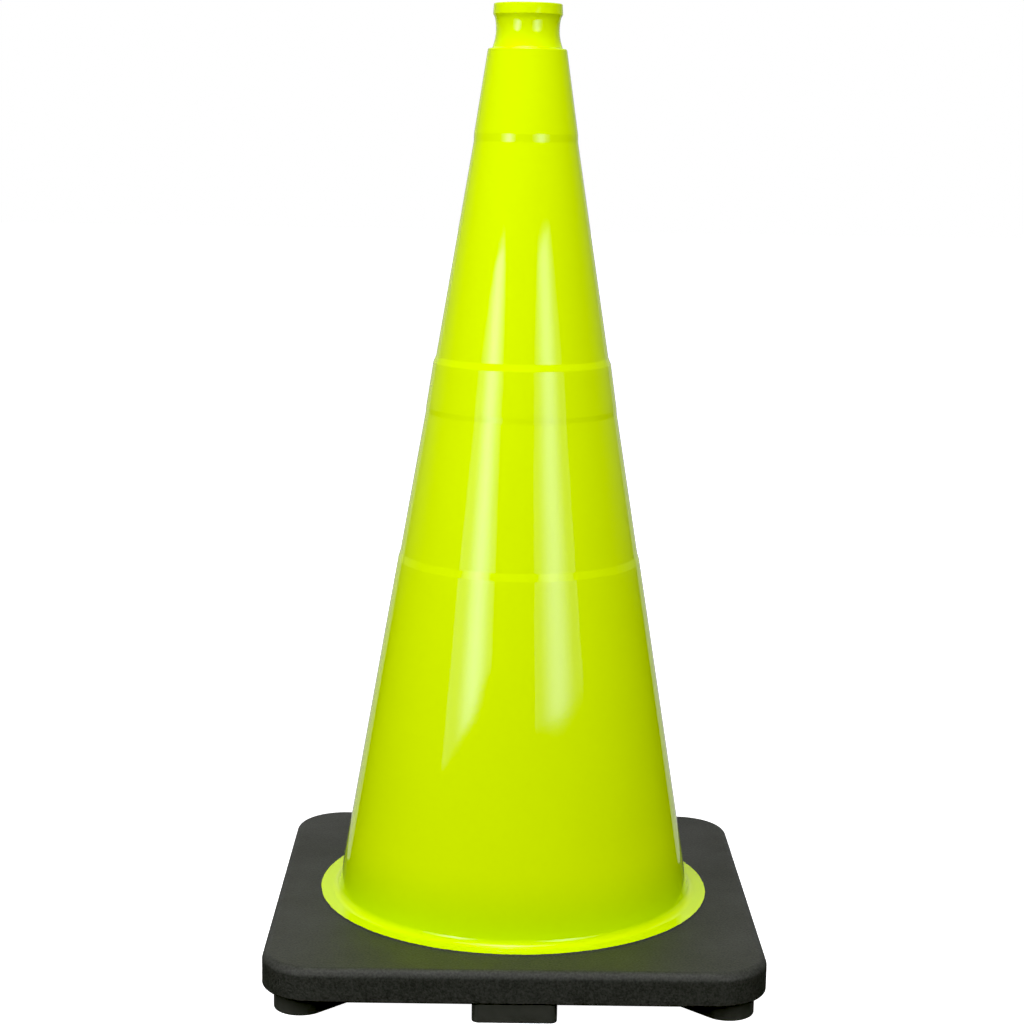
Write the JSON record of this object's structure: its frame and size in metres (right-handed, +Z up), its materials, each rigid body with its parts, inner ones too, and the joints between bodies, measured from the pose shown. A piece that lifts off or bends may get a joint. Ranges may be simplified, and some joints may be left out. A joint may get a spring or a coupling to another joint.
{
  "type": "traffic cone",
  "caption": "Tall lime traffic cone with a grooved neck, shallow seats for reflective collars and a heavy square black base on moulded feet.",
  "frame": {"origin": "on the ground, on the cone's axis, under the middle of the square base", "axes": "+Z up along the cone's axis; X and Y square to the sides of the base, with -Y the side seen as the front"},
  "size_m": [0.363, 0.363, 0.7112],
  "materials": {
    "lime_pvc": "gloss",
    "black_pvc": "matte"
  },
  "bodies": {
    "root": {"cone_body": "lime_pvc", "base": "black_pvc"}
  },
  "joints": []
}
